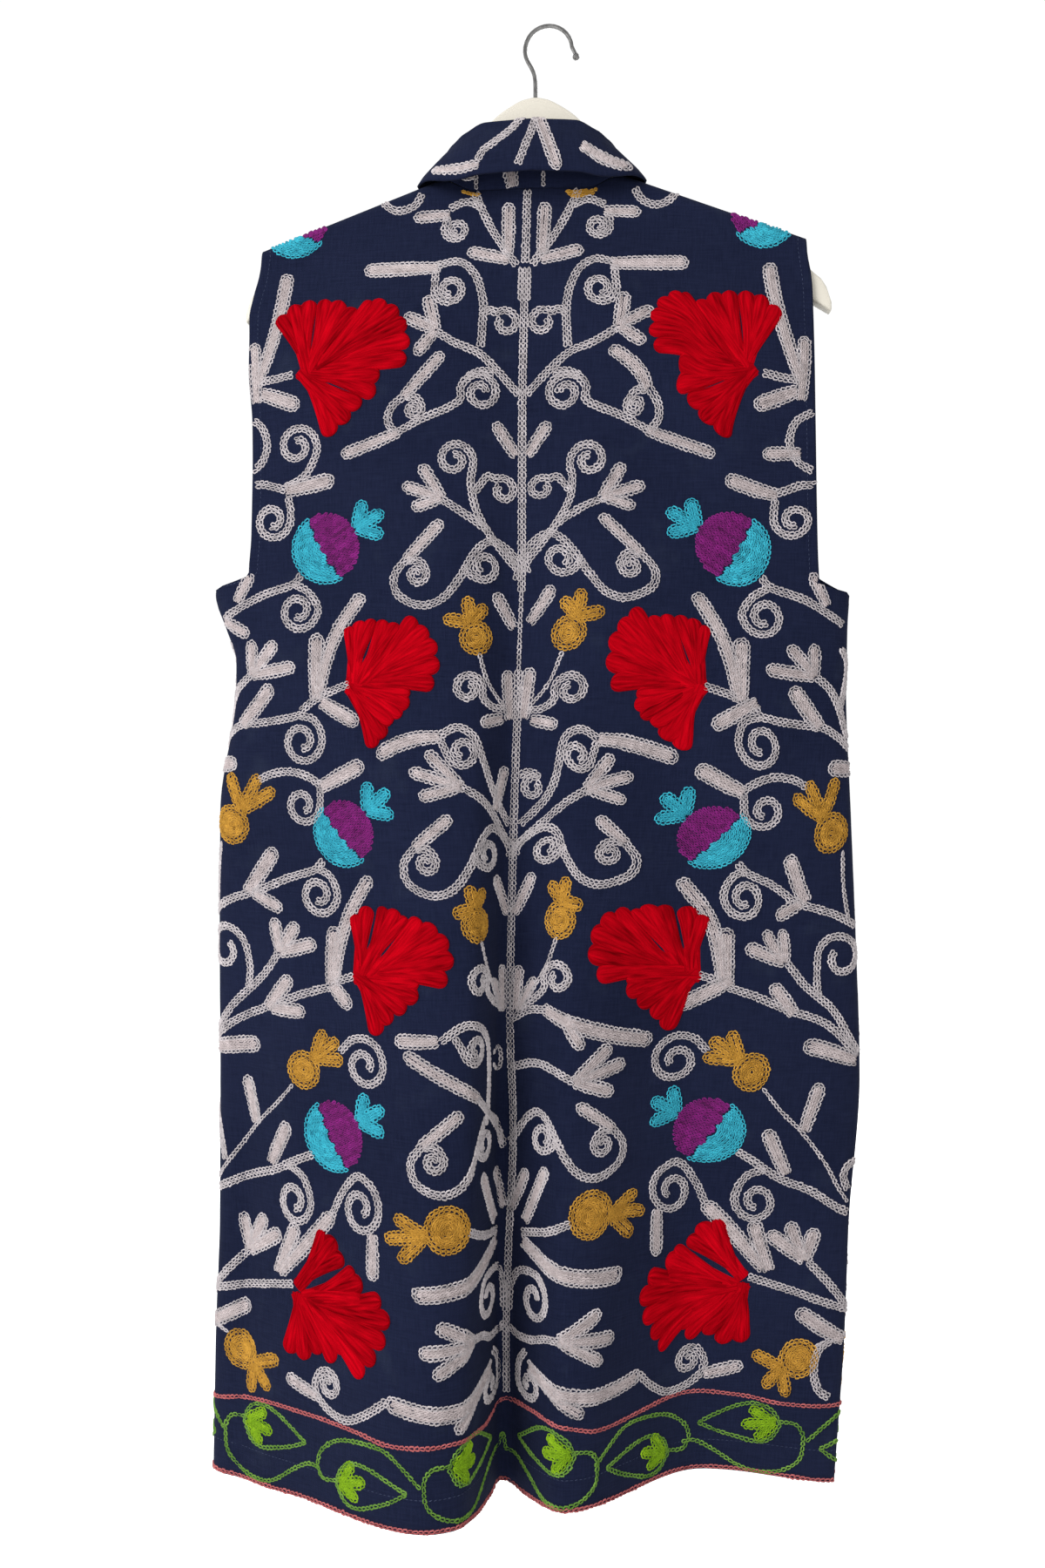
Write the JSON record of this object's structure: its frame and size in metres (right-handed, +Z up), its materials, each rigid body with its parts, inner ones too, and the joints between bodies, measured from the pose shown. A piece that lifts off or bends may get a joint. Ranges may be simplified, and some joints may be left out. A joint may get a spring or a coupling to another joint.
{
  "type": "embroidered folk vest and hanger",
  "caption": "Long sleeveless open-fronted folk vest with a turned-down collar and chain-stitch embroidery, hanging on a flat hanger with a wire hook.",
  "frame": {"origin": "inside of the hook's crown, where a peg or rail carries the hanger", "axes": "+Z up; the vest's back faces -Y and its open fronts face +Y; +X to the right of a viewer who looks at the back"},
  "size_m": [0.4919, 0.1557, 1.0953],
  "materials": {
    "cloth": "slubby plain-weave navy cotton, chain-stitched in wool and cotton yarns",
    "board": "satin cream paint",
    "wire": "polished"
  },
  "bodies": {
    "root": {"back": "cloth", "front_left": "cloth", "front_right": "cloth", "collar": "cloth", "hanger": "board", "hook": "wire"}
  },
  "joints": []
}
